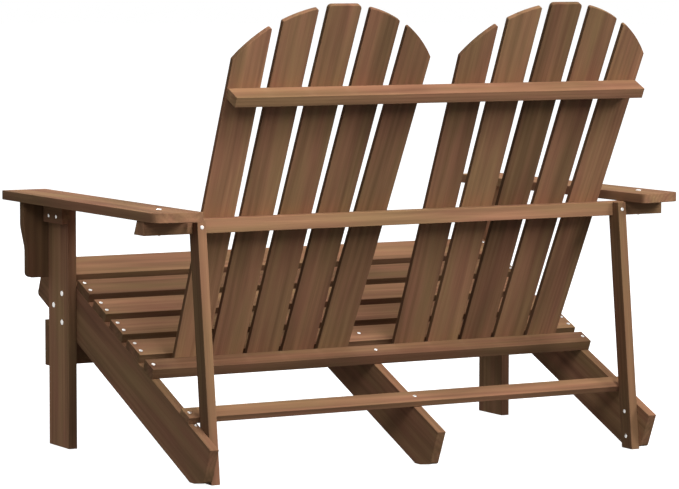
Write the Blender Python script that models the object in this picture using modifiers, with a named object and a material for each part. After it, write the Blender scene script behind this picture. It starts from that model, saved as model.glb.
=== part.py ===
# Two-seat slatted garden seat with a reclined fan back, flat arms and sloping seat boards.
# Metres, +Z up. The sitter looks along -Y, so the sitter's left hand is at +X.
# The floor is z = 0, and the origin is under the middle of the whole seat.

import math
import bmesh
import bpy
from mathutils import Matrix, Vector

# Boards and fits
board = 0.019                 # thickness of every frame board
rail_thick = 0.0215           # thickness of the two rails that the back rests on
foot_rail_thick = 0.0128
back_slat_thick = 0.010
seam = 0.0003                 # gap left where two pieces meet
edge_round = 0.0010           # eased edges of the boards
edge_steps = 2
arc_step = math.radians(12)   # longest turn of a rounded corner between two points
overrun = 0.010               # how far a cutter passes the face that it starts from
weld = 0.00001                # points closer than this are one point
flat_turn = 0.001             # faces that turn less than this, in radians, are one face

# Seat frame: three sloping stringers
seat_width = 1.030            # over the outer faces of the side stringers
seat_slope = math.radians(23.4)
stringer_deep = 0.102
nose_past = 0.0650            # from the front seat slat to the stringers' front end
heel_back = 0.0335            # rear top corner, behind the foot of the posts
heel_rise = 0.0732            # rear top corner, above the floor
heel_flat = 0.018             # length that stands on the floor
heel_lift = math.radians(8)   # slope of the cut behind it
heel_round = 0.008
nose_round = 0.060
chin_round = 0.008

# Seat boards, measured up the slope from the stringers' rear top corner
rail_start = 0.2726           # rear edge of the board that the back stands against
rail_wide = 0.0415
back_slot = 0.0225            # from that board to the first seat slat
slat_wide = 0.0615
slat_gap = 0.0225
front_slat_wide = 0.0757
plain_slats = 4
foot_rail_start = 0.0998
foot_rail_wide = 0.0395

# Back: two fans of slats, leaning on the rear seat board, the beam and the upper rail
back_recline = math.radians(25.7)
back_slat_gap = 0.009         # between two slats at the seat
fan_slats = 5
fan_step = math.radians(0.87)
fan_inner = 0.0540            # from the middle of the seat to the nearest slat
fan_outer = 0.0650            # from the last slat to the stringers' outer faces
fan_rise = 0.7776             # top of each fan, up the slats from the rear seat board
fan_arc_share = 0.66667       # radius of the fan's top, as a share of its width
crown_cut = 0.0020            # how far under that top the middle slat is cut straight
beside_drop = 0.0024          # how much lower the arc runs on the two slats beside it
slat_corner = 0.004
middle_corner = 0.008         # the same, on the middle slat
crown_points = 7
upper_rail_rise = 0.6025      # its top edge, up the slats from the rear seat board
upper_rail_wide = 0.039
upper_rail_inset = 0.0016     # from its ends to the outer edges of the last slats

# Posts and the beam that carries the arms
post_lean = math.radians(6.6)
post_deep = 0.0365
post_back = 0.0015            # rear face, behind the place that depths are measured from
beam_back = -0.0768           # rear face of the beam, from the foot of the posts
beam_high = 0.0280
beam_inset = 0.005            # from its ends to the arms' outer edges

# Arms
arm_top = 0.5248
arm_wide = 0.100
arm_inset = 0.010             # inner edge, inside the stringers' outer faces
arm_overhang = 0.076          # in front of the legs
arm_back = -0.002
arm_taper = 0.020             # how far the outer rear corner is cut forward
arm_back_round = 0.020
arm_inner_round = 0.010
arm_front_round = 0.004

# Front legs, apron, corbels and cleats
leg_from_nose = 0.0579        # behind the stringers' front top corner
leg_wide = 0.0955
apron_high = 0.095
apron_drop = 0.0025           # clearance under the stringers
corbel_wide = 0.0745
corbel_foot = 0.065
corbel_high = 0.158
corbel_bend_shares = (0.32, 0.62)
corbel_bend = 0.045
corbel_round = 0.010
cleat_long = 0.090
cleat_high = 0.041
cleat_set = 0.018             # behind the leg's front edge

# Fasteners: radii and heights of the three kinds
turn_steps = 12
bolt_shank = 0.0030
bolt_head = 0.0058
bolt_rise = 0.0026
bolt_nut = 0.0050
bolt_nut_high = 0.0050
bolt_tail = 0.0040
screw_shank = 0.0020
screw_head = 0.0038
screw_rise = 0.0014
dome_share = 0.62
rim_share = 0.45
screw_bite = 0.022            # thread length in the board behind
short_bite = 0.014            # the same, where only one board's thickness is behind

# Places of the fasteners
foot_screw_heights = (0.0763, 0.0253)
leg_bolt_backs = (0.067, 0.027, 0.067)
leg_bolt_drops = (0.0228, 0.0672, 0.0823)   # under the stringers' top edge
cleat_screw_gap = 0.036
cleat_screw_drop = 0.027
arm_bolt_aside = 0.0015       # outward from the middle of the arm
arm_bolt_behind_slats = 0.009
heel_screw_behind = 0.0065    # behind the foot rail
heel_screw_in = 0.013         # inward from the stringers' outer faces

# Colours of the stained wood and of the plated steel, linear
wood_colour = (0.155, 0.078, 0.042, 1.0)
wood_rough = 0.55
steel_colour = (0.72, 0.68, 0.63, 1.0)
steel_rough = 0.32

# Derived sizes
half_seat = seat_width / 2
post_out = half_seat - board - seam
leg_in = half_seat + seam
leg_out = leg_in + board
arm_in = half_seat - arm_inset
arm_out = arm_in + arm_wide
beam_long = 2 * (arm_out - beam_inset)
fan_wide = half_seat - fan_inner - fan_outer
back_slat_wide = (fan_wide - (fan_slats - 1) * back_slat_gap) / fan_slats
back_pitch = back_slat_wide + back_slat_gap
fan_centre = fan_inner + fan_wide / 2
fan_radius = fan_arc_share * fan_wide
beam_top = arm_top - board - seam
beam_low = beam_top - beam_high
rail_front = rail_start + rail_wide
slats_end = rail_front + back_slot + plain_slats * (slat_wide + slat_gap) + front_slat_wide
stringer_long = slats_end + nose_past
leg_front = heel_back - stringer_long * math.cos(seat_slope) + leg_from_nose
arm_front = leg_front - arm_overhang
upper_rail_mid = upper_rail_rise - rail_thick / 2
fan_spread = fan_wide / 2 + upper_rail_mid * math.sin(fan_step * (fan_slats - 1) / 2)
upper_rail_long = 2 * (fan_centre + fan_spread - upper_rail_inset)
uphill = Vector((0, -math.cos(seat_slope), math.sin(seat_slope)))
off_seat = Vector((0, math.sin(seat_slope), math.cos(seat_slope)))
up_back = Vector((0, math.sin(back_recline), math.cos(back_recline)))
off_back = Vector((0, math.cos(back_recline), -math.sin(back_recline)))
across = Vector((1, 0, 0))
heel = Vector((0, heel_back, heel_rise))


def clear_scene():
    for thing in list(bpy.data.objects):
        bpy.data.objects.remove(thing, do_unlink=True)


def collection(name):
    made = bpy.data.collections.new(name)
    bpy.context.scene.collection.children.link(made)
    return made


def file_in(thing, home):
    for old in list(thing.users_collection):
        old.objects.unlink(thing)
    home.objects.link(thing)


def finish_material(name, colour, rough, metal):
    made = bpy.data.materials.new(name)
    made.use_nodes = True
    shader = made.node_tree.nodes["Principled BSDF"]
    shader.inputs["Base Color"].default_value = colour
    shader.inputs["Roughness"].default_value = rough
    shader.inputs["Metallic"].default_value = metal
    return made


def on_slope(along, off):
    """A point of the seat's side view: along the stringers' top edge, and off it."""
    return heel + uphill * along + off_seat * off


def on_back(up, off):
    """A point of the back's side view: up the slats' rear face, and off it."""
    return on_slope(rail_front, rail_thick + seam) + up_back * up + off_back * off


def turn_to(first, second):
    """Rotation that takes local X and Y to two square directions."""
    third = first.cross(second)
    return Matrix((first, second, third)).transposed().to_euler()


def rounded(corners):
    """Outline through corners (u, v, radius), with each rounded corner as an arc."""
    points = []
    count = len(corners)
    for i in range(count):
        here = Vector(corners[i][:2])
        radius = corners[i][2]
        if radius == 0:
            points.append(here)
            continue
        back = (Vector(corners[i - 1][:2]) - here).normalized()
        ahead = (Vector(corners[(i + 1) % count][:2]) - here).normalized()
        half = back.angle(ahead) / 2
        centre = here + (back + ahead).normalized() * (radius / math.sin(half))
        start = here + back * (radius / math.tan(half)) - centre
        turn = start.angle_signed(here + ahead * (radius / math.tan(half)) - centre)
        steps = max(1, math.ceil(abs(turn) / arc_step))
        for step in range(steps + 1):
            swing = Matrix.Rotation(-turn * step / steps, 2)
            points.append(centre + swing @ start)
    return points


def ease_edges(thing):
    ease = thing.modifiers.new("eased edges", "BEVEL")
    ease.width = edge_round
    ease.segments = edge_steps
    ease.limit_method = "ANGLE"
    ease.angle_limit = math.radians(32)


def give_wood(thing):
    thing.data.materials.clear()
    stain = finish_material(thing.name + " stain", wood_colour, wood_rough, 0)
    thing.data.materials.append(stain)


def settle(thing, place, turn):
    thing.location = place
    thing.rotation_euler = turn
    thing.parent = bench
    file_in(thing, pieces)


def plate(name, outline, thick, place, turn):
    """A board cut to a flat outline, its thickness centred on the outline's plane."""
    flat = bpy.data.curves.new(name + " outline", "CURVE")
    flat.dimensions = "2D"
    flat.fill_mode = "BOTH"
    flat.extrude = thick / 2
    run = flat.splines.new("POLY")
    run.points.add(len(outline) - 1)
    for point, spot in zip(run.points, outline):
        point.co = (spot[0], spot[1], 0, 1)
    run.use_cyclic_u = True
    drawn = bpy.data.objects.new(name + " drawn", flat)
    bpy.context.scene.collection.objects.link(drawn)
    bpy.context.view_layer.update()
    seen = drawn.evaluated_get(bpy.context.evaluated_depsgraph_get())
    mesh = bpy.data.meshes.new_from_object(seen)
    shape = bmesh.new()
    shape.from_mesh(mesh)
    bmesh.ops.remove_doubles(shape, verts=shape.verts, dist=weld)
    bmesh.ops.dissolve_limit(shape, angle_limit=flat_turn, verts=shape.verts, edges=shape.edges)
    bmesh.ops.recalc_face_normals(shape, faces=shape.faces)
    shape.to_mesh(mesh)
    shape.free()
    bpy.data.objects.remove(drawn, do_unlink=True)
    thing = bpy.data.objects.new(name, mesh)
    bpy.context.scene.collection.objects.link(thing)
    settle(thing, place, turn)
    give_wood(thing)
    ease_edges(thing)
    return thing


def bar(name, size, place, turn=(0, 0, 0)):
    """A square-edged board of the given size, centred on its place."""
    bpy.ops.mesh.primitive_cube_add(size=1)
    thing = bpy.context.object
    thing.name = name
    thing.data.name = name
    thing.data.transform(Matrix.Diagonal((*size, 1)))
    settle(thing, place, turn)
    give_wood(thing)
    ease_edges(thing)
    return thing


def turned(name, profile, place, turn):
    """A turned steel piece: its profile runs down the outer side, from axis to axis."""
    mesh = bpy.data.meshes.new(name)
    shape = bmesh.new()
    spots = [shape.verts.new((radius, 0, height)) for radius, height in profile]
    for a, b in zip(spots, spots[1:]):
        shape.edges.new((a, b))
    shape.to_mesh(mesh)
    shape.free()
    thing = bpy.data.objects.new(name, mesh)
    bpy.context.scene.collection.objects.link(thing)
    lathe = thing.modifiers.new("turned", "SCREW")
    lathe.steps = turn_steps
    lathe.render_steps = turn_steps
    lathe.use_merge_vertices = True
    lathe.merge_threshold = weld
    settle(thing, place, turn)
    mesh.materials.append(finish_material(name + " steel", steel_colour, steel_rough, 1))
    return thing


def bore(thing, radius, start, end):
    """Cut a round hole through a board, between two points of the bench."""
    run = end - start
    bpy.ops.mesh.primitive_cylinder_add(vertices=turn_steps, radius=radius, depth=run.length)
    cutter = bpy.context.object
    cutter.name = thing.name + " bore"
    cutter.location = (start + end) / 2
    cutter.rotation_euler = run.to_track_quat("Z", "Y").to_euler()
    cutter.parent = bench
    cutter.hide_render = True
    cutter.display_type = "WIRE"
    file_in(cutter, cutters)
    cut = thing.modifiers.new("bore", "BOOLEAN")
    cut.operation = "DIFFERENCE"
    cut.solver = "EXACT"
    cut.object = cutter


def domed(head, rise):
    """The upper side of a low domed head, from its axis down to its rim."""
    return [(0, rise), (head * dome_share, rise * (1 + dome_share) / 2), (head, rise * rim_share), (head, 0)]


def drive_screw(name, face, inward, length):
    """A domed screw, its head on a face and its shank running into the wood."""
    tip = -length
    profile = domed(screw_head, screw_rise) + [(screw_shank, 0), (screw_shank, tip + screw_shank), (0, tip)]
    turn = (-inward).to_track_quat("Z", "Y").to_euler()
    turned(name, profile, face - inward * seam, turn)


def screw_in(name, face, inward, held, board_behind, thick, bite=screw_bite):
    """A screw through one board, from its face, into the board behind it."""
    inward = inward.normalized()
    drive_screw(name, face, inward, thick + bite)
    end = face + inward * (thick + bite + seam)
    bore(held, screw_shank + seam, face - inward * overrun, face + inward * (thick + overrun / 2))
    bore(board_behind, screw_shank + seam, face + inward * (thick - overrun / 2), end)


def bolt_in(name, face, inward, first, second, grip, nut=True):
    """A domed bolt through two boards, with its nut against the far side."""
    far = -(grip + 2 * seam)
    profile = domed(bolt_head, bolt_rise) + [(bolt_shank, 0)]
    if nut:
        profile += [(bolt_shank, far), (bolt_nut, far), (bolt_nut, far - bolt_nut_high)]
        profile += [(bolt_shank, far - bolt_nut_high)]
        far -= bolt_nut_high
    profile += [(bolt_shank, far - bolt_tail), (0, far - bolt_tail)]
    inward = inward.normalized()
    turn = (-inward).to_track_quat("Z", "Y").to_euler()
    turned(name, profile, face - inward * seam, turn)
    for held in (first, second):
        bore(held, bolt_shank + seam, face - inward * overrun, face + inward * (grip + overrun))


def make_stringer(name, middle):
    """A sloping board on edge, its heel cut to stand on the floor, its nose rounded."""
    floor_start = (stringer_deep * math.cos(seat_slope) - heel_rise) / math.sin(seat_slope)
    flat_along = floor_start - heel_flat * math.cos(seat_slope)
    flat_off = heel_flat * math.sin(seat_slope) - stringer_deep
    lifted = seat_slope + heel_lift
    heel_off = flat_off + flat_along * math.tan(lifted)
    outline = rounded([
        (0, 0, 0),
        (stringer_long, 0, nose_round),
        (stringer_long, -stringer_deep, chin_round),
        (floor_start, -stringer_deep, 0),
        (flat_along, flat_off, 0),
        (0, heel_off, heel_round),
    ])
    place = heel + across * middle
    return plate(name, outline, board, place, turn_to(uphill, off_seat))


def seat_board(name, start, wide, thick=board):
    """A board across the seat, lying on the stringers from one distance up the slope."""
    place = on_slope(start + wide / 2, seam + thick / 2)
    return bar(name, (seat_width, wide, thick), place, turn_to(across, uphill))


def make_seat_slats():
    start = rail_front + back_slot
    for number in range(plain_slats, 0, -1):
        seat_board("seat_slat_%d" % (number + 1), start, slat_wide)
        start += slat_wide + slat_gap
    seat_board("seat_slat_1", start, front_slat_wide)


def post_rear_at(height):
    """How far back the posts' rear face lies at a height above the floor."""
    return post_back - height * math.tan(post_lean)


def make_post(name, side):
    """A leaning post inside a side stringer, halved at the top to carry the beam."""
    shoulder = beam_low - seam
    notch = beam_back + seam
    outline = [
        (post_rear_at(0), 0),
        (post_rear_at(beam_top), beam_top),
        (notch, beam_top),
        (notch, shoulder),
        (post_rear_at(shoulder) - post_deep, shoulder),
        (post_rear_at(0) - post_deep, 0),
    ]
    place = across * (side * (post_out - board / 2))
    return plate(name, outline, board, place, turn_to(Vector((0, 1, 0)), Vector((0, 0, 1))))


def back_face_at(height):
    """How far back the slats' rear face lies at a height above the floor."""
    start = on_back(0, 0)
    return start.y + (height - start.z) * math.tan(back_recline)


def stringer_top_at(back):
    """Height of the stringers' top edge at a distance behind the posts' feet."""
    return heel_rise + (heel_back - back) * math.tan(seat_slope)


def make_beam():
    """The beam under the arms: upright behind, and bevelled to the slats in front."""
    relief = seam / math.cos(back_recline)
    outline = [
        (beam_back, beam_low),
        (beam_back, beam_top),
        (back_face_at(beam_top) + relief, beam_top),
        (back_face_at(beam_low) + relief, beam_low),
    ]
    turn = turn_to(Vector((0, 1, 0)), Vector((0, 0, 1)))
    return plate("arm_beam", outline, beam_long, Vector(), turn)


def make_upper_rail():
    place = on_back(upper_rail_mid, seam + upper_rail_wide / 2)
    size = (upper_rail_long, rail_thick, upper_rail_wide)
    return bar("upper_back_rail", size, place, turn_to(across, up_back))


def make_back_slat(name, side, step):
    """One slat of a fan: parallel edges, turned in the plane of the back, with its
    top on the fan's arc. Steps count outward from the fan's middle slat."""
    foot_drop = (rail_thick + seam) / math.cos(back_recline - seat_slope)
    foot = fan_centre + step * back_pitch
    swing = step * fan_step
    half = back_slat_wide / 2
    sin, cos = math.sin(swing), math.cos(swing)
    hub_out = fan_centre - foot
    hub_up = fan_rise - fan_radius - (beside_drop if abs(step) == 1 else 0)
    hub = Vector((hub_out * cos - hub_up * sin, hub_out * sin + hub_up * cos))
    crown = []
    for point in range(crown_points):
        u = half - back_slat_wide * point / (crown_points - 1)
        arc = hub.y + math.sqrt(fan_radius ** 2 - (u - hub.x) ** 2)
        crown.append((u, min(arc, fan_rise - crown_cut)))
    corner = slat_corner if step else middle_corner
    corners = [(-half, -foot_drop, 0), (half, -foot_drop, 0)]
    corners.append((*crown[0], corner))
    corners += [(u, v, 0) for u, v in crown[1:-1]]
    corners.append((*crown[-1], corner))
    outline = [Vector((side * u, v)) for u, v in rounded(corners)]
    out = (across * side * cos - up_back * sin) * side
    up = up_back * cos + across * side * sin
    place = on_back(0, -back_slat_thick / 2) + across * (side * foot)
    return plate(name, outline, back_slat_thick, place, turn_to(out, up))


def make_back():
    for hand, side in (("left", 1), ("right", -1)):
        for number in range(fan_slats):
            step = (fan_slats - 1) / 2 - number
            make_back_slat("back_slat_%s_%d" % (hand, number + 1), side, step)


def make_arm(name, side):
    """A flat arm, its outer rear corner swept round."""
    outline = rounded([
        (arm_in, arm_front, arm_front_round),
        (arm_out, arm_front, arm_front_round),
        (arm_out, arm_back - arm_taper, arm_back_round),
        (arm_in, arm_back, arm_inner_round),
    ])
    outline = [Vector((side * x, y)) for x, y in outline]
    return plate(name, outline, board, Vector((0, 0, arm_top - board / 2)), (0, 0, 0))


def make_leg(name, side):
    high = arm_top - board - seam
    place = Vector((side * (leg_in + board / 2), leg_front + leg_wide / 2, high / 2))
    return bar(name, (board, leg_wide, high), place)


def make_apron():
    """The board across the front edges of the legs, just under the stringers."""
    rear = leg_front - seam
    run = (heel_back - stringer_deep * math.sin(seat_slope) - rear) / math.cos(seat_slope)
    underside = heel_rise + run * math.sin(seat_slope) - stringer_deep * math.cos(seat_slope)
    top = underside - apron_drop
    place = Vector((0, rear - board / 2, top - apron_high / 2))
    return bar("front_apron", (2 * leg_out, board, apron_high), place)


def make_corbel(name, side):
    """A shaped bracket on the leg's front edge, standing out under the arm."""
    top = arm_top - board - seam
    low = top - corbel_high
    upper, lower = (top - share * corbel_high for share in corbel_bend_shares)
    outline = rounded([
        (leg_in, low, 0),
        (leg_in + corbel_foot, low, corbel_round),
        (leg_in + corbel_foot, lower, corbel_bend),
        (leg_in + corbel_wide, upper, corbel_bend),
        (leg_in + corbel_wide, top, 0),
        (leg_in, top, 0),
    ])
    outline = [Vector((side * x, z)) for x, z in outline]
    place = Vector((0, leg_front - seam - board / 2, 0))
    return plate(name, outline, board, place, turn_to(across, Vector((0, 0, 1))))


def make_cleat(name, side):
    """A block on the leg's outer face, which holds the arm from below."""
    top = arm_top - board - seam
    out = leg_out + seam + board / 2
    back = leg_front + cleat_set + cleat_long / 2
    place = Vector((side * out, back, top - cleat_high / 2))
    return bar(name, (board, cleat_long, cleat_high), place)


def fasten_side(hand, side):
    """The bolts and screws of one side of the seat."""
    piece = bpy.data.objects
    stringer, leg = piece["%s_stringer" % hand], piece["%s_front_leg" % hand]
    post, arm, cleat = piece["%s_rear_post" % hand], piece["%s_arm" % hand], piece["%s_arm_cleat" % hand]
    beam = piece["arm_beam"]
    out, inward = across * side, across * -side

    for number, height in enumerate(foot_screw_heights):
        back = post_rear_at(height) - post_deep / 2
        face = Vector((side * (post_out - board), back, height))
        screw_in("%s_foot_screw_%d" % (hand, number + 1), face, out, post, stringer, board, short_bite)

    height = beam_low + beam_high / 2
    rear = post_rear_at(height)
    drive = Vector((0, -math.cos(post_lean), -math.sin(post_lean)))
    through = (rear - beam_back) / math.cos(post_lean)
    face = Vector((side * (post_out - board / 2), rear, height))
    screw_in("%s_post_screw" % hand, face, drive, post, beam, through)

    for number, (set_back, drop) in enumerate(zip(leg_bolt_backs, leg_bolt_drops)):
        back = leg_front + set_back
        face = Vector((side * leg_out, back, stringer_top_at(back) - drop))
        bolt_in("%s_leg_bolt_%d" % (hand, number + 1), face, inward, leg, stringer, 2 * board + seam)

    for number, shift in enumerate((-cleat_screw_gap / 2, cleat_screw_gap / 2)):
        back = leg_front + cleat_set + cleat_long / 2 + shift
        height = arm_top - board - cleat_screw_drop
        face = Vector((side * (leg_out + seam + board), back, height))
        screw_in("%s_cleat_screw_%d" % (hand, number + 1), face, inward, cleat, leg, board, short_bite)

    back = back_face_at(beam_top) + arm_bolt_behind_slats
    arm_middle = (arm_in + arm_out) / 2
    face = Vector((side * (arm_middle + arm_bolt_aside), back, arm_top))
    bolt_in("%s_arm_bolt" % hand, face, Vector((0, 0, -1)), arm, beam, board + seam + beam_high, False)


def fasten_rails():
    """The screws that hold the two rear rails down on the three stringers."""
    piece = bpy.data.objects
    side_line = half_seat - board / 2
    rows = (
        ("rear_seat_rail", rail_start + rail_wide / 2, rail_thick),
        ("foot_rail", foot_rail_start + foot_rail_wide / 2, foot_rail_thick),
    )
    for rail, along, thick in rows:
        for hand, x in (("left", side_line), ("centre", 0), ("right", -side_line)):
            face = on_slope(along, seam + thick) + across * x
            name = "%s_screw_%s" % (rail, hand)
            screw_in(name, face, -off_seat, piece[rail], piece["%s_stringer" % hand], thick)


def fasten_heels():
    """A screw down into each side stringer's top edge, just behind the foot rail."""
    along = foot_rail_start - heel_screw_behind
    for hand, side in (("left", 1), ("right", -1)):
        face = on_slope(along, 0) + across * (side * (half_seat - heel_screw_in))
        drive_screw("%s_heel_screw" % hand, face, -off_seat, screw_bite)
        stringer = bpy.data.objects["%s_stringer" % hand]
        bore(stringer, screw_shank + seam, face + off_seat * overrun, face - off_seat * (screw_bite + seam))


def centre_on_floor():
    """Move the bench so that the origin lies under the middle of its overall depth."""
    bpy.context.view_layer.update()
    graph = bpy.context.evaluated_depsgraph_get()
    backs = []
    for thing in pieces.objects:
        if thing.type != "MESH":
            continue
        seen = thing.evaluated_get(graph)
        backs += [(seen.matrix_world @ vert.co).y for vert in seen.data.vertices]
    bench.location.y = -(min(backs) + max(backs)) / 2


clear_scene()
pieces = collection("adirondack_loveseat")
cutters = collection("cutters")
bench = bpy.data.objects.new("bench", None)
pieces.objects.link(bench)

for hand, side in (("left", 1), ("right", -1)):
    make_stringer("%s_stringer" % hand, side * (half_seat - board / 2))
    make_post("%s_rear_post" % hand, side)
    make_leg("%s_front_leg" % hand, side)
    make_arm("%s_arm" % hand, side)
    make_corbel("%s_corbel" % hand, side)
    make_cleat("%s_arm_cleat" % hand, side)
make_stringer("centre_stringer", 0)
make_beam()
make_upper_rail()
make_apron()
make_seat_slats()
seat_board("rear_seat_rail", rail_start, rail_wide, rail_thick)
seat_board("foot_rail", foot_rail_start, foot_rail_wide, foot_rail_thick)
make_back()
for hand, side in (("left", 1), ("right", -1)):
    fasten_side(hand, side)
fasten_rails()
fasten_heels()
centre_on_floor()
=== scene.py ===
# Looks of the two-seat garden seat: brown stained boards, pale plated screws and bolts.

import itertools
import math
import random

import bmesh
import bpy
from mathutils import Matrix, Vector


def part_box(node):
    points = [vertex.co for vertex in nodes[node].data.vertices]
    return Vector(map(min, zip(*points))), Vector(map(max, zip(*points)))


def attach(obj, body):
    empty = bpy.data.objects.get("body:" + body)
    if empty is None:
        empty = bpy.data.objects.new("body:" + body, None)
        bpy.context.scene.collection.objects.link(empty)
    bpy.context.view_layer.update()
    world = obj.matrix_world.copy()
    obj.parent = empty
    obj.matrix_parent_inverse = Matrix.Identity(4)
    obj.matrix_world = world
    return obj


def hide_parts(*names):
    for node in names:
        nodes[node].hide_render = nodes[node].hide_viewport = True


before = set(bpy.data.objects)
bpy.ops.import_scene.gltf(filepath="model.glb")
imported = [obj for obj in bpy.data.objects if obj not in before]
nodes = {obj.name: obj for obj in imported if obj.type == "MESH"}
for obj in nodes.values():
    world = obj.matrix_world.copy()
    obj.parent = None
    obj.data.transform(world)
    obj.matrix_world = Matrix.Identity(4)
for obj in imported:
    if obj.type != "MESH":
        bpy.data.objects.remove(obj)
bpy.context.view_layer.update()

# Directions across the seat, and along and off its sloping boards
across = Vector((1, 0, 0))
rearward = Vector((0, 1, 0))
forward = Vector((0, -1, 0))
upright = Vector((0, 0, 1))
seat_slope = math.radians(23.4)
back_recline = math.radians(25.7)
post_lean = math.radians(6.6)
uphill = Vector((0, -math.cos(seat_slope), math.sin(seat_slope)))
off_seat = Vector((0, math.sin(seat_slope), math.cos(seat_slope)))
up_back = Vector((0, math.sin(back_recline), math.cos(back_recline)))
off_back = Vector((0, math.cos(back_recline), -math.sin(back_recline)))
along_post = Vector((0, -math.sin(post_lean), math.cos(post_lean)))
off_post = Vector((0, math.cos(post_lean), math.sin(post_lean)))

# The sitter's left hand is at +X
hands = (("left", 1), ("right", -1))

# Boards that the screws sit on, in metres
board = 0.019
rail_thick = 0.0215
rail_wide = 0.0415
back_slat_thick = 0.010
seam = 0.0003

# The seat's boards, and the two fans of back boards
seat_slats = 5
fan_slats = 5
fan_centre = 0.252
back_pitch = 0.081
fan_step = math.radians(0.87)


def middle(node):
    """Middle of a node's box."""
    low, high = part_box(node)
    return (low + high) / 2


# The slats' rear faces start over the front edge of the rear seat rail. Up them from
# there are the middles of the upper rail and of the arm beam.
back_start = middle("rear_seat_rail") + off_seat * (rail_thick / 2 + seam) + uphill * (rail_wide / 2)
rail_rise = (middle("upper_back_rail") - back_start).dot(up_back)
beam_rise = (middle("arm_beam").z - back_start.z) / up_back.z

# How far the front legs stand from the middle of the seat
leg_line = middle("left_front_leg").x


def slat_axes(side, number):
    """Foot, outward and upward directions of one back slat. Number 1 is the outermost."""
    step = (fan_slats - 1) / 2 - (number - 1)
    swing = step * fan_step
    foot = back_start + across * (side * (fan_centre + step * back_pitch))
    up = up_back * math.cos(swing) + across * (side * math.sin(swing))
    out = across * (side * math.cos(swing)) - up_back * math.sin(swing)
    return foot, out, up


# Shader nodes

# Distance between the columns, and the rows, of the node editor
node_spacing = 190


def add(tree, kind, x, y, **settings):
    """A new node at a column and a row of the node editor."""
    node = tree.nodes.new(kind)
    node.location = (x * node_spacing, y * node_spacing)
    for name, value in settings.items():
        setattr(node, name, value)
    return node


def fill_in(node, values):
    """Set a node's sockets by their names."""
    for name, value in values.items():
        node.inputs[name].default_value = value


def ramp(tree, x, y, factor, stops):
    """The colour that a factor picks between the stops."""
    node = add(tree, "ShaderNodeValToRGB", x, y)
    elements = node.color_ramp.elements
    while len(elements) < len(stops):
        elements.new(0.5)
    for element, (spot, colour) in zip(elements, stops):
        element.position = spot
        element.color = (*colour, 1)
    tree.links.new(factor, node.inputs["Fac"])
    return node.outputs["Color"]


def between(tree, x, y, factor, low, high, start=0.0, end=1.0):
    """A value that goes from low to high while a factor goes from start to end."""
    node = add(tree, "ShaderNodeMapRange", x, y)
    fill_in(node, {"From Min": start, "From Max": end, "To Min": low, "To Max": high})
    tree.links.new(factor, node.inputs["Value"])
    return node.outputs["Result"]


def noise(tree, x, y, place, detail, rough=0.5, distortion=0.0, scale=1.0):
    """Soft random patches. The scale says how many lie along one unit of the place."""
    node = add(tree, "ShaderNodeTexNoise", x, y)
    fill_in(node, {"Scale": scale, "Detail": detail, "Roughness": rough, "Distortion": distortion})
    tree.links.new(place, node.inputs["Vector"])
    return node.outputs["Fac"]


def grey(value):
    return (value, value, value)


def new_material(name):
    """A material and its shader."""
    made = bpy.data.materials.new(name)
    made.use_nodes = True
    return made, made.node_tree.nodes["Principled BSDF"]


# Stained wood

# The stain at the middle tone, from the dark bands to the light ones
dark_stain = Vector((0.186, 0.099, 0.059))
mid_stain = Vector((0.256, 0.138, 0.079))
light_stain = Vector((0.328, 0.183, 0.102))
stain_stops = ((0.26, dark_stain), (0.5, mid_stain), (0.76, light_stain))

# What the rings, the fibres and the slow drift multiply the stain by
red_tint = (1.08, 0.96, 0.96)
green_tint = (0.97, 1.03, 0.90)
ring_stops = ((0.0, grey(0.92)), (0.55, grey(1.0)), (1.0, grey(1.04)))
fibre_stops = ((0.3, grey(0.90)), (0.7, grey(1.08)))
drift_stops = ((0.34, red_tint), (0.66, green_tint))

# How fast the figure changes along a board, over its width and through it
ring_stretch = (0.045, 1, 1)
band_stretch = (2.0, 34, 34)
fibre_stretch = (9, 420, 420)
drift_stretch = (4.0, 27, 27)
drift_shift = (3, 7, 1)

# Ranges of what differs by chance from board to board
board_starts = (-4, 4)
heart_asides = (-0.05, 0.05)
heart_depths = (0.03, 0.09)
ring_scales = (30, 42)
ring_phases = (0, 6)

# How squarely a surface has to face a direction to start taking its share, and to have it all
facing_from = 0.55
facing_full = 0.85

wood_roughness = (0.74, 0.86)
wood_specular = 0.02
ring_relief = 0.6
relief_strength = 0.35
relief_depth = 0.0005


def stretched(tree, x, y, on_board, stretch, shift=(0, 0, 0)):
    """The place on the board, scaled along each of the board's directions."""
    node = add(tree, "ShaderNodeMapping", x, y, vector_type="POINT")
    fill_in(node, {"Scale": stretch, "Location": shift})
    tree.links.new(on_board, node.inputs["Vector"])
    return node.outputs["Vector"]


def growth_rings(tree, on_board, pick):
    """Growth rings round a heart that lies beside the board."""
    heart = (0, pick.uniform(*heart_asides), pick.choice((-1, 1)) * pick.uniform(*heart_depths))
    rings = add(tree, "ShaderNodeTexWave", -6, 3, wave_type="RINGS", rings_direction="X")
    fill_in(rings, {
        "Scale": pick.uniform(*ring_scales),
        "Distortion": 5.0,
        "Detail": 2.0,
        "Detail Scale": 0.35,
        "Detail Roughness": 0.55,
        "Phase Offset": pick.uniform(*ring_phases),
    })
    place = stretched(tree, -7, 3, on_board, ring_stretch, heart)
    tree.links.new(place, rings.inputs["Vector"])
    return rings.outputs["Fac"]


def by_facing(tree, y, normal, direction, share):
    """White, turning to the share where the surface faces along the direction, either way."""
    facing = add(tree, "ShaderNodeVectorMath", -7, y, operation="DOT_PRODUCT")
    facing.inputs[1].default_value = direction
    tree.links.new(normal, facing.inputs[0])
    size = add(tree, "ShaderNodeMath", -6, y, operation="ABSOLUTE")
    tree.links.new(facing.outputs["Value"], size.inputs[0])
    stops = ((facing_from, grey(1.0)), (facing_full, grey(share)))
    return ramp(tree, -4, y, size.outputs["Value"], stops)


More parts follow.
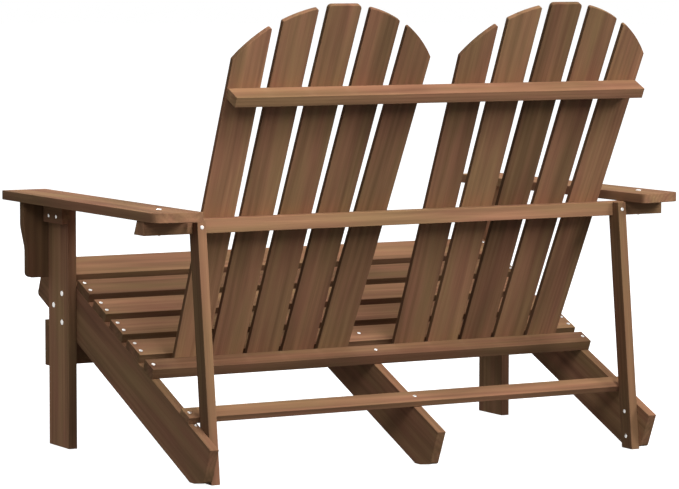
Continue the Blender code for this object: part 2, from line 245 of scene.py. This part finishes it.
def relief(tree, rings, fibres):
    """Fine unevenness that follows the growth rings and the fibres."""
    height = add(tree, "ShaderNodeMath", -3, -4, operation="MULTIPLY_ADD")
    height.inputs[1].default_value = ring_relief
    tree.links.new(rings, height.inputs[0])
    tree.links.new(fibres, height.inputs[2])
    bump = add(tree, "ShaderNodeBump", -2, -4)
    fill_in(bump, {"Strength": relief_strength, "Distance": relief_depth})
    tree.links.new(height.outputs["Value"], bump.inputs["Height"])
    return bump.outputs["Normal"]


def stained_wood(name, grain, width, centre, seed, tone_and_light, edge, end):
    """Brown stain over softwood whose fibres run along the board. The board's narrow
    sides and its sawn ends come out darker or lighter by their own shares: partly the stain they
    take, partly painted shade and light for how they face the lamps."""
    pick = random.Random(seed)
    made, shader = new_material(name)
    tree = made.node_tree
    link = tree.links.new

    # Where a point lies along the board, over its width and through it
    turn = Matrix((grain, width, grain.cross(width)))
    start = Vector((pick.uniform(*board_starts), 0, 0)) - turn @ centre
    place = add(tree, "ShaderNodeTexCoord", -9, 0)
    to_board = add(tree, "ShaderNodeMapping", -8, 0, vector_type="POINT")
    fill_in(to_board, {"Location": start, "Rotation": turn.to_euler()})
    link(place.outputs["Object"], to_board.inputs["Vector"])
    on_board = to_board.outputs["Vector"]

    # Growth rings, wide soft bands, fine fibres and slow drift
    rings = growth_rings(tree, on_board, pick)
    band_place = stretched(tree, -7, 1, on_board, band_stretch)
    bands = noise(tree, -6, 1, band_place, detail=2, rough=0.45, distortion=0.6)
    fibre_place = stretched(tree, -7, -1, on_board, fibre_stretch)
    fibres = noise(tree, -6, -1, fibre_place, detail=3, rough=0.6)
    drift_place = stretched(tree, -7, -3, on_board, drift_stretch, drift_shift)
    drift = noise(tree, -6, -3, drift_place, detail=2)

    # The bands' colour, multiplied by all the rest. The last two darken the narrow sides and the sawn
    # ends, partly as stain and partly as painted shade.
    colour = ramp(tree, -4, 1, bands, [(spot, stain * tone_and_light) for spot, stain in stain_stops])
    factors = (
        ramp(tree, -4, 3, rings, ring_stops),
        ramp(tree, -4, -1, fibres, fibre_stops),
        ramp(tree, -4, -3, drift, drift_stops),
        by_facing(tree, -5, place.outputs["Normal"], width, edge),
        by_facing(tree, -7, place.outputs["Normal"], grain, end),
    )
    for step, factor in enumerate(factors):
        x, y = step - 3, 1 - step
        blend = add(tree, "ShaderNodeMix", x, y, data_type="RGBA", blend_type="MULTIPLY")
        blend.inputs["Factor"].default_value = 1
        link(colour, blend.inputs["A"])
        link(factor, blend.inputs["B"])
        colour = blend.outputs["Result"]

    link(colour, shader.inputs["Base Color"])
    link(between(tree, -2, -3, fibres, *wood_roughness), shader.inputs["Roughness"])
    shader.inputs["Specular IOR Level"].default_value = wood_specular
    link(relief(tree, rings, fibres), shader.inputs["Normal"])
    return made


# How light each board is, beside the middle tone: partly its own stain, partly painted light and
# shade set board by board to match how lit it is, which lightens the rear seat slats in the back's
# shadow and the shaded front legs, and darkens shaded boards such as the corbels and the rear seat
# rail
back_tones_and_light = {
    "left": (1.45, 1.17, 1.04, 0.99, 0.98),
    "right": (1.17, 1.08, 0.85, 1.21, 1.02),
}
side_tones_and_light = {
    "left": {
        "stringer": 1.12, "rear_post": 1.05, "front_leg": 1.45,
        "arm": 1.24, "corbel": 0.76, "arm_cleat": 0.95,
    },
    "right": {
        "stringer": 1.13, "rear_post": 1.00, "front_leg": 1.35,
        "arm": 1.24, "corbel": 0.76, "arm_cleat": 0.95,
    },
}
cross_tones_and_light = {
    "seat_slat_1": 1.19, "seat_slat_2": 0.92, "seat_slat_3": 1.48, "seat_slat_4": 1.42,
    "seat_slat_5": 1.44, "rear_seat_rail": 0.80, "foot_rail": 1.24, "arm_beam": 1.30,
    "upper_back_rail": 1.25, "front_apron": 0.90, "centre_stringer": 1.09,
}

# The share of its board's tone that a narrow side has, where it isn't the whole: partly stain soaking
# in darker, partly painted shade on sides that face away from the lamps
edge_stain_and_shade = {
    "rear_post": 0.72, "arm": 0.88, "front_leg": 0.58, "back_slat": 0.50,
    "rear_seat_rail": 0.78, "foot_rail": 0.71, "upper_back_rail": 0.95,
    "seat_slat_1": 0.62, "seat_slat_2": 0.62, "seat_slat_3": 0.48,
    "seat_slat_4": 0.48, "seat_slat_5": 0.48,
}

# The same for a sawn end: partly stain, partly painted shade, and on the arm's lit rear end a little
# painted light
end_stain_and_shade = {
    "arm": 1.05, "stringer": 0.80, "centre_stringer": 0.80,
    "seat_slat_1": 0.72, "seat_slat_2": 0.72, "seat_slat_3": 0.55,
    "seat_slat_4": 0.55, "seat_slat_5": 0.55,
}

# Directions along a board's grain and over its width
side_grains = {
    "stringer": (uphill, off_seat), "rear_post": (along_post, across),
    "front_leg": (upright, rearward), "arm": (rearward, across),
    "corbel": (upright, across), "arm_cleat": (rearward, upright),
}
slat_grains = (across, uphill)
cross_grains = {
    "arm_beam": (across, upright), "upper_back_rail": (across, off_back),
    "front_apron": (across, upright), "centre_stringer": (uphill, off_seat),
}

# Each board's chance differences come from a seed of its own
seeds = itertools.count(4)


def stain_board(node, kind, grain, width, centre, tone_and_light):
    """Give a board its own wood, with the shares of its kind."""
    edge, end = edge_stain_and_shade.get(kind, 1.0), end_stain_and_shade.get(kind, 1.0)
    wood = stained_wood(node + "_wood", grain, width, centre, next(seeds), tone_and_light, edge, end)
    thing = nodes[node]
    thing.data.materials.clear()
    thing.data.materials.append(wood)


for hand, side in hands:
    for number, tone_and_light in enumerate(back_tones_and_light[hand], 1):
        name = "back_slat_%s_%d" % (hand, number)
        foot, out, up = slat_axes(side, number)
        stain_board(name, "back_slat", up, out * side, foot, tone_and_light)
    for kind, (grain, width) in side_grains.items():
        name = "%s_%s" % (hand, kind)
        stain_board(name, kind, grain, width, middle(name), side_tones_and_light[hand][kind])
for name, tone_and_light in cross_tones_and_light.items():
    grain, width = cross_grains.get(name, slat_grains)
    stain_board(name, name, grain, width, middle(name), tone_and_light)


# Plated steel

patch_scale = 900
dull_zinc = (0.92, 0.89, 0.85)
bright_zinc = (0.98, 0.96, 0.93)
zinc_stops = ((0.3, dull_zinc), (0.7, bright_zinc))
zinc_roughness = (0.26, 0.44)
zinc_metal = 0.75


def plated_steel():
    """Pale zinc plate, a little dulled in patches."""
    made, shader = new_material("plated_steel")
    tree = made.node_tree
    link = tree.links.new
    place = add(tree, "ShaderNodeTexCoord", -5, 0)
    patches = noise(tree, -4, 0, place.outputs["Object"], detail=3, scale=patch_scale)
    link(ramp(tree, -3, 1, patches, zinc_stops), shader.inputs["Base Color"])
    link(between(tree, -3, -1, patches, *zinc_roughness), shader.inputs["Roughness"])
    shader.inputs["Metallic"].default_value = zinc_metal
    return made


steel = plated_steel()


# Screws and bolts

# Radius and rise of the head, and radius of the shank, in metres
screw_form = (0.0038, 0.0015, 0.0020)
bolt_form = (0.0058, 0.0027, 0.0030)

# The screws that CAD leaves out have the same head on a thinner, short shank
short_shank = 0.0019
short_length = 0.012
short_point = 0.002

# The nut's radius is to its corners, and the bolt's tail stands out of it
nut_radius = 0.0050
nut_high = 0.005
nut_tail = 0.004

# Steps round a turned form and down a dome. The rim's height is a share of the dome's
# rise, and the radius of the head's underside a share of the rim's.
turned_steps = 32
dome_rows = 6
rim_share = 0.25
underside_share = 0.98

# Edges sharper than these stay crisp, on a turned form and on one with a cut or a nut
turned_crease = math.radians(40)
cut_crease = math.radians(35)

# The cross recess, as shares of the head's radius and rise. Its foot is a share of its top.
recess_reach = 1.25
recess_wide = 0.24
recess_deep = 1.3
recess_level = 0.85
recess_foot = 0.45

# Each fastener is spun by chance, up to this many radians
most_spin = 1.5
spins = random.Random(11)


def lathe(shape, profile):
    """Turn a profile of (radius, height) round the Z axis, closed at both ends."""
    rows = []
    for radius, height in profile:
        if radius == 0:
            rows.append([shape.verts.new((0, 0, height))])
            continue
        ring = []
        for step in range(turned_steps):
            angle = 2 * math.pi * step / turned_steps
            ring.append(shape.verts.new((radius * math.cos(angle), radius * math.sin(angle), height)))
        rows.append(ring)
    for upper, lower in zip(rows, rows[1:]):
        for step in range(turned_steps):
            after = (step + 1) % turned_steps
            corners = [upper[step % len(upper)], lower[step % len(lower)],
                       lower[after % len(lower)], upper[after % len(upper)]]
            kept = [corner for place, corner in enumerate(corners) if corner not in corners[:place]]
            shape.faces.new(kept)


def dome(radius, rise):
    """Profile of a low domed head, from its crown down to its underside."""
    points = [(0, rise)]
    for row in range(1, dome_rows + 1):
        angle = math.pi / 2 * row / dome_rows
        height = rim_share + (1 - rim_share) * math.cos(angle)
        points.append((radius * math.sin(angle), rise * height))
    return points + [(radius * underside_share, 0)]


def turned(name, radius, rise, shank, tip, point):
    """Mesh of a domed head on a plain shank, which ends in a point at the tip's height."""
    shape = bmesh.new()
    lathe(shape, dome(radius, rise) + [(shank, 0), (shank, tip + point), (0, tip)])
    bmesh.ops.recalc_face_normals(shape, faces=shape.faces)
    mesh = bpy.data.meshes.new(name)
    shape.to_mesh(mesh)
    shape.free()
    mesh.shade_smooth()
    mesh.set_sharp_from_angle(angle=turned_crease)
    return mesh


def recess_tool(radius, rise, turn):
    """One tapered bar of the cross, to be cut out of a head."""
    shape = bmesh.new()
    bmesh.ops.create_cube(shape, size=1)
    reach, wide, deep = radius * recess_reach, radius * recess_wide, rise * recess_deep
    for vert in shape.verts:
        taper = 1.0 if vert.co.z > 0 else recess_foot
        vert.co = Vector((vert.co.x * reach * taper, vert.co.y * wide * taper, vert.co.z * deep))
    cut = bpy.data.meshes.new("recess")
    shape.to_mesh(cut)
    shape.free()
    tool = bpy.data.objects.new("recess", cut)
    bpy.context.scene.collection.objects.link(tool)
    tool.location.z = rise * recess_level
    tool.rotation_euler.z = turn
    return tool


def cross_recess(mesh, radius, rise):
    """Sink a tapered cross into the crown of a screw's head."""
    body = bpy.data.objects.new("uncut", mesh)
    bpy.context.scene.collection.objects.link(body)
    tools = [recess_tool(radius, rise, turn) for turn in (0, math.pi / 2)]
    for tool in tools:
        carve = body.modifiers.new("recess", "BOOLEAN")
        carve.operation = "DIFFERENCE"
        carve.solver = "EXACT"
        carve.object = tool
    bpy.context.view_layer.update()
    seen = body.evaluated_get(bpy.context.evaluated_depsgraph_get())
    done = bpy.data.meshes.new_from_object(seen)
    for thing in [body, *tools]:
        bpy.data.objects.remove(thing)
    done.set_sharp_from_angle(angle=cut_crease)
    return done


def with_nut(mesh, tip):
    """Add a hexagon nut, its far face a thread's tail from the bolt's tip."""
    shape = bmesh.new()
    shape.from_mesh(mesh)
    sizes = {"radius1": nut_radius, "radius2": nut_radius, "depth": nut_high}
    made = bmesh.ops.create_cone(shape, cap_ends=True, segments=6, **sizes)
    bmesh.ops.translate(shape, verts=made["verts"], vec=(0, 0, tip + nut_tail + nut_high / 2))
    shape.to_mesh(mesh)
    shape.free()
    mesh.set_sharp_from_angle(angle=cut_crease)
    return mesh


def place_on(mesh, name, spot, outward):
    """Seat a screw or bolt on a surface, its head's underside at the spot."""
    thing = bpy.data.objects.new(name, mesh)
    bpy.context.scene.collection.objects.link(thing)
    turn = outward.to_track_quat("Z", "Y").to_matrix().to_4x4()
    spin = Matrix.Rotation(spins.uniform(0, most_spin), 4, "Z")
    thing.matrix_world = Matrix.Translation(spot) @ turn @ spin
    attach(thing, "root")
    return thing


def redo(node, outward, kind):
    """Stand a smooth, finished fastener in the place of a CAD one. Its kind is screw, bolt
    or nutted, which is a bolt with a nut."""
    outward = outward.normalized()
    radius, rise, shank = screw_form if kind == "screw" else bolt_form
    points = [vert.co.copy() for vert in nodes[node].data.vertices]
    reach = [point.dot(outward) for point in points]
    tip = rise - (max(reach) - min(reach))
    mesh = turned(node + "_mesh", radius, rise, shank, tip, shank)
    if kind == "screw":
        mesh = cross_recess(mesh, radius, rise)
    if kind == "nutted":
        mesh = with_nut(mesh, tip)
    mesh.materials.append(steel)
    crown = max(points, key=lambda point: point.dot(outward))
    thing = place_on(mesh, node + "_finished", crown - outward * rise, outward)
    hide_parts(node)


def short_screw_mesh():
    """The small screw that holds the slats, the corbels and the apron."""
    radius, rise, shank = screw_form
    mesh = turned("short_screw", radius, rise, short_shank, -short_length, short_point)
    mesh = cross_recess(mesh, radius, rise)
    mesh.materials.append(steel)
    return mesh


short_screw = short_screw_mesh()

# The fasteners that CAD has
for hand, side in hands:
    out = across * side
    for number in (1, 2, 3):
        redo("%s_leg_bolt_%d" % (hand, number), out, "nutted")
    for number in (1, 2):
        redo("%s_foot_screw_%d" % (hand, number), -out, "screw")
        redo("%s_cleat_screw_%d" % (hand, number), out, "screw")
    redo("%s_arm_bolt" % hand, upright, "bolt")
    redo("%s_heel_screw" % hand, off_seat, "screw")
    redo("%s_post_screw" % hand, off_post, "screw")
for rail in ("rear_seat_rail", "foot_rail"):
    for place in ("left", "centre", "right"):
        redo("%s_screw_%s" % (rail, place), off_seat, "screw")

# Seat boards: a pair of screws over each side stringer, one over the centre stringer
stringer_line = 0.506
seat_pair = 0.015
for number in range(1, seat_slats + 1):
    top = middle("seat_slat_%d" % number) + off_seat * (board / 2 + seam)
    for hand, side in hands:
        for row, along in ((1, seat_pair), (2, -seat_pair)):
            spot = top + across * (side * stringer_line) + uphill * along
            place_on(short_screw, "seat_screw_%d_%s_%d" % (number, hand, row), spot, off_seat)
    place_on(short_screw, "seat_screw_%d_centre" % number, top, off_seat)

# Back boards: pairs from the front into the upper rail and into the arm beam
back_pair = 0.018
for hand, side in hands:
    for number in range(1, fan_slats + 1):
        foot, out, up = slat_axes(side, number)
        for level, rise in (("rail", rail_rise), ("beam", beam_rise)):
            for row, aside in ((1, -back_pair), (2, back_pair)):
                spot = foot - off_back * (back_slat_thick + seam) + up * rise + out * aside
                name = "back_screw_%s_%d_%s_%d" % (hand, number, level, row)
                place_on(short_screw, name, spot, -off_back)

# Front: the corbels and the apron are screwed to the legs' front edges
corbel_heights = (0.47, 0.39)
apron_heights = (0.235, 0.185)
for hand, side in hands:
    corbel = ("corbel", "%s_corbel" % hand, corbel_heights)
    apron = ("apron", "front_apron", apron_heights)
    for kind, node, heights in (corbel, apron):
        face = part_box(node)[0].y
        for row, height in enumerate(heights, 1):
            spot = Vector((side * leg_line, face, height))
            place_on(short_screw, "%s_screw_%s_%d" % (kind, hand, row), spot, forward)


# Floor, light and camera

white = (1, 1, 1, 1)

floor_radius = 40
floor_corners = 96
floor_level = -0.0005
floor_colour = (0.55, 0.55, 0.55, 1)
floor_glow = 0.95

# Each lamp's energy, its turn from straight behind and its rise above the floor, in degrees
lamps = {
    "rear_key": (145, 0, 46),
    "rear_right_fill": (82, 35, 24),
    "rear_left_fill": (32, -40, 25),
    "front_fill": (92, 180, 40),
}
lamp_aim = Vector((0, 0, 0.45))
lamp_distance = 5.0
lamp_size = 1.5

# Strength of the light from above and from below the horizon, where the two blend, and of
# what gloss shows
sky_fill = 0.355
floor_fill = 0.115
fill_colour = (0.95, 1.0, 1.06, 1)
horizon_blend = 0.1
mirrored_glow = 1.15

# The camera fitted to the photo, its place in metres, its lens and sensor in millimetres
camera_place = (3.4382, 6.0070, 1.0205)
camera_yaw = math.radians(29.5933)
camera_pitch = math.radians(4.9795)
camera_roll = math.radians(0.1043)
camera_lens = 178.74
camera_sensor = 36
camera_clip = 200


def pale_floor():
    """A wide pale floor with its own glow. It lights nothing, and no gloss shows it."""
    bpy.ops.mesh.primitive_circle_add(vertices=floor_corners, radius=floor_radius, fill_type="NGON")
    floor = bpy.context.object
    floor.name = "floor"
    floor.location.z = floor_level
    made, shader = new_material("pale_floor")
    fill_in(shader, {
        "Base Color": floor_colour,
        "Roughness": 1,
        "Specular IOR Level": 0,
        "Emission Color": white,
        "Emission Strength": floor_glow,
    })
    floor.data.materials.append(made)
    floor.visible_diffuse = False
    floor.visible_glossy = False


def lamp(name, energy, turn, rise):
    """A round soft lamp. Its turn goes towards the sitter's right."""
    turn, rise = math.radians(turn), math.radians(rise)
    flat = math.cos(rise)
    toward = Vector((-math.sin(turn) * flat, math.cos(turn) * flat, math.sin(rise)))
    light = bpy.data.lights.new(name, "AREA")
    light.energy = energy
    light.shape = "DISK"
    light.size = lamp_size
    thing = bpy.data.objects.new(name, light)
    bpy.context.scene.collection.objects.link(thing)
    thing.location = lamp_aim + toward * lamp_distance
    thing.rotation_euler = toward.to_track_quat("Z", "Y").to_euler()


def plain_world():
    """White behind the seat and pale in its gloss, but lit as by a dim sky over a darker floor."""
    world = bpy.data.worlds.new("studio")
    bpy.context.scene.world = world
    world.use_nodes = True
    tree = world.node_tree
    link = tree.links.new
    seen = tree.nodes["Background"]
    fill_in(seen, {"Color": white, "Strength": 1})
    direction = add(tree, "ShaderNodeTexCoord", -6, 0)
    parts = add(tree, "ShaderNodeSeparateXYZ", -5, 0)
    link(direction.outputs["Generated"], parts.inputs["Vector"])
    rise = parts.outputs["Z"]
    strength = between(tree, -4, 0, rise, floor_fill, sky_fill, -horizon_blend, horizon_blend)
    fill = add(tree, "ShaderNodeBackground", -3, 0)
    fill.inputs["Color"].default_value = fill_colour
    link(strength, fill.inputs["Strength"])
    mirrored = add(tree, "ShaderNodeBackground", -3, -2)
    mirrored.inputs["Strength"].default_value = mirrored_glow

    # Which of the three a ray meets
    path = add(tree, "ShaderNodeLightPath", -3, 2)
    around = add(tree, "ShaderNodeMixShader", -2, -2)
    link(path.outputs["Is Glossy Ray"], around.inputs[0])
    link(fill.outputs[0], around.inputs[1])
    link(mirrored.outputs[0], around.inputs[2])
    mix = add(tree, "ShaderNodeMixShader", -2, 0)
    link(path.outputs["Is Camera Ray"], mix.inputs[0])
    link(around.outputs[0], mix.inputs[1])
    link(seen.outputs[0], mix.inputs[2])
    link(mix.outputs[0], tree.nodes["World Output"].inputs["Surface"])


def photo_camera():
    """The photo's viewpoint: behind the seat, to its left, a little higher than its back."""
    sine, cosine = math.sin(camera_yaw), math.cos(camera_yaw)
    flat = math.cos(camera_pitch)
    ahead = Vector((-sine * flat, -cosine * flat, -math.sin(camera_pitch)))
    right = Vector((-cosine, sine, 0))
    up = right.cross(ahead)
    lean, stay = math.sin(camera_roll), math.cos(camera_roll)
    right, up = right * stay + up * lean, up * stay - right * lean
    data = bpy.data.cameras.new("photo_camera")
    data.sensor_width = camera_sensor
    data.lens = camera_lens
    data.clip_end = camera_clip
    camera = bpy.data.objects.new("photo_camera", data)
    bpy.context.scene.collection.objects.link(camera)
    turn = Matrix((right, up, -ahead)).transposed().to_4x4()
    camera.matrix_world = Matrix.Translation(camera_place) @ turn
    bpy.context.scene.camera = camera


bpy.context.scene.view_settings.view_transform = "Standard"
pale_floor()
plain_world()
for name, (energy, turn, rise) in lamps.items():
    lamp(name, energy, turn, rise)
photo_camera()
